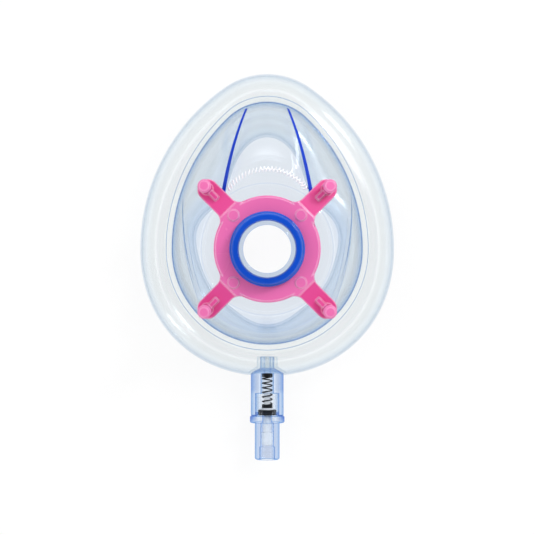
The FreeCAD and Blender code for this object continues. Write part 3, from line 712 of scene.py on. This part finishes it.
# fibres about 1.25 mm long
fibre = add(tree, "ShaderNodeTexNoise", {"Vector": place}, in_Scale=1 / (1.25 * MM))
links = {"Height": fibre.outputs["Fac"]}
sheet_bump = add(tree, "ShaderNodeBump", links, in_Strength=0.05, in_Distance=0.1 * MM)
links = {"Normal": sheet_bump.outputs["Normal"]}
diffuse = add(tree, "ShaderNodeBsdfDiffuse", links, in_Color=linear("FCFCFC"))
away = add(tree, "ShaderNodeVectorMath", {0: place}, operation="LENGTH").outputs["Value"]
fall = add(tree, "ShaderNodeMapRange", {"Value": away}, in_1=0.09, in_2=0.32, in_3=1.0, in_4=0.3)
path = add(tree, "ShaderNodeLightPath").outputs
level = add(tree, "ShaderNodeMath", {0: fall.outputs[0], 1: path["Is Camera Ray"]}, operation="MAXIMUM")
glow = add(tree, "ShaderNodeEmission", {"Strength": level.outputs[0]}, in_Color=(1, 1, 1, 1))
links = {0: path["Is Camera Ray"], 1: path["Is Glossy Ray"]}
seen = add(tree, "ShaderNodeMath", links, operation="MAXIMUM")
links = {0: seen.outputs[0], 1: path["Is Transmission Ray"]}
seen = add(tree, "ShaderNodeMath", links, operation="MAXIMUM")
# the share of glow leaves the shadow beside the mask and hides the sheet's far edge
clean = add(tree, "ShaderNodeMapRange", {"Value": away}, in_1=0.12, in_2=0.9, in_3=0.86, in_4=1.0)
share = add(tree, "ShaderNodeMath", {0: seen.outputs[0], 1: clean.outputs[0]}, operation="MULTIPLY")
links = {0: share.outputs[0], 1: diffuse.outputs[0], 2: glow.outputs[0]}
mixed = add(tree, "ShaderNodeMixShader", links)
finish_material(tree, mixed.outputs[0])
floor.data.materials.append(paper)

# World: soft light on the mask and plain white behind it. In gloss it is a studio of grey walls with one
# bright band part way up, which the dome and the cushion mirror as streaks.
world = bpy.data.worlds.new("studio")
scene.world = world
world.use_nodes = True
tree = world.node_tree
tree.nodes.clear()
path = add(tree, "ShaderNodeLightPath").outputs
way = add(tree, "ShaderNodeTexCoord").outputs["Generated"]
height = add(tree, "ShaderNodeSeparateXYZ", {0: way}).outputs["Z"]
band = add(tree, "ShaderNodeValToRGB", {"Fac": height})
# height of each stop, from level to straight up, and its grey
WALLS = (
    (0.0, 0.1),
    (0.35, 0.12),
    (0.5, 0.2),
    (0.55, 1.0),
    (0.58, 1.0),
    (0.63, 0.15),
    (0.72, 0.04),
    (1.0, 0.02),
)
for k, (where, value) in enumerate(WALLS):
    stop = band.color_ramp.elements[k] if k < 2 else band.color_ramp.elements.new(where)
    stop.position = where
    stop.color = (value, value, value, 1)
soft = add(tree, "ShaderNodeBackground", in_Color=(1, 1, 1, 1), in_Strength=0.6)
studio = add(tree, "ShaderNodeBackground", {"Color": band.outputs["Color"]}, in_Strength=2.2)
bright = add(tree, "ShaderNodeBackground", in_Color=(1, 1, 1, 1), in_Strength=1.0)
links = {0: path["Is Transmission Ray"], 1: path["Is Glossy Ray"]}
seen = add(tree, "ShaderNodeMath", links, operation="MAXIMUM")
links = {0: seen.outputs[0], 1: soft.outputs[0], 2: studio.outputs[0]}
inside = add(tree, "ShaderNodeMixShader", links)
links = {0: path["Is Camera Ray"], 1: inside.outputs[0], 2: bright.outputs[0]}
mixed = add(tree, "ShaderNodeMixShader", links)
add(tree, "ShaderNodeOutputWorld", {"Surface": mixed.outputs[0]})


def softbox(name, place, size, brightness, mirrored=False):
    """Square lamp aimed at the mask; only a mirrored one shows as a highlight."""
    light = bpy.data.lights.new(name, "AREA")
    light.shape = "RECTANGLE"
    light.size = size
    light.size_y = size
    light.energy = brightness * math.pi * light.size * light.size_y
    item = bpy.data.objects.new(name, light)
    item.location = place
    item.rotation_euler = (Vector((0, 0, 0.015)) - Vector(place)).to_track_quat("-Z", "Y").to_euler()
    item.visible_glossy = mirrored
    scene.collection.objects.link(item)


softbox("key_small", (0.40, 0.34, 0.50), 0.10, 36.0, True)
softbox("key_large", (0.35, 0.45, 0.70), 0.50, 2.5)
softbox("fill_left", (-0.50, 0.10, 0.60), 0.40, 2.4)
softbox("fill_chin", (-0.10, -0.55, 0.60), 0.40, 1.2)
softbox("edge_right", (0.55, 0.50, 0.12), 0.12, 8.0, True)
softbox("edge_left", (-0.60, -0.45, 0.10), 0.10, 8.0, True)

lens = bpy.data.cameras.new("camera")
lens.sensor_width = 36.0
lens.lens = 173.7
lens.clip_start = 0.05
lens.shift_y = -0.0324
camera = bpy.data.objects.new("camera", lens)
camera.location = (0.00008, -0.0003, 0.708)
camera.rotation_euler = (0, 0, 0)
scene.collection.objects.link(camera)
scene.camera = camera

scene.view_settings.view_transform = "Standard"
scene.cycles.max_bounces = 32
scene.cycles.transmission_bounces = 32
scene.cycles.glossy_bounces = 12
scene.cycles.transparent_max_bounces = 32
